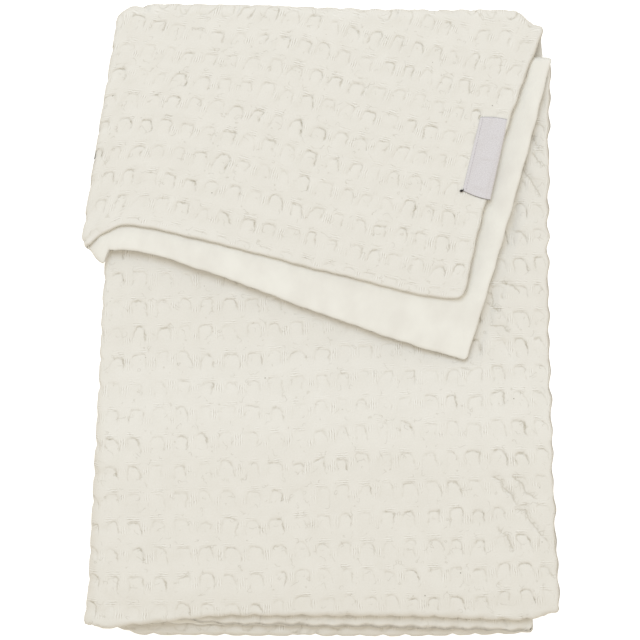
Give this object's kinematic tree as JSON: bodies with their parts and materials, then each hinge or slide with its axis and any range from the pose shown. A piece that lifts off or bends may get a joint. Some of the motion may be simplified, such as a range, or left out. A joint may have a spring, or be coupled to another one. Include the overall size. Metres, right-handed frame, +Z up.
{
  "type": "folded waffle weave cotton blanket",
  "caption": "Crib blanket of puffy waffle cotton with a plain lining, folded flat, its upper end turned over the front.",
  "frame": {"origin": "centre of the bounding box in plan, on the surface that the folded blanket lies on", "axes": "+X from the lengthwise fold to the open edges, +Y to the end that is turned over, +Z up from the surface"},
  "size_m": [0.3906, 0.5164, 0.0267],
  "materials": {
    "waffle_cotton": "matt off-white waffle weave, puffy ribs round sunken pockets",
    "plain_cotton": "matt off-white plain cotton, smooth with a short soft surface",
    "label_tape": "fine satin woven tape, cool pale grey, bare"
  },
  "bodies": {
    "root": {"waffle_face": "waffle_cotton", "lining": "plain_cotton", "side_label": "label_tape"}
  },
  "joints": []
}
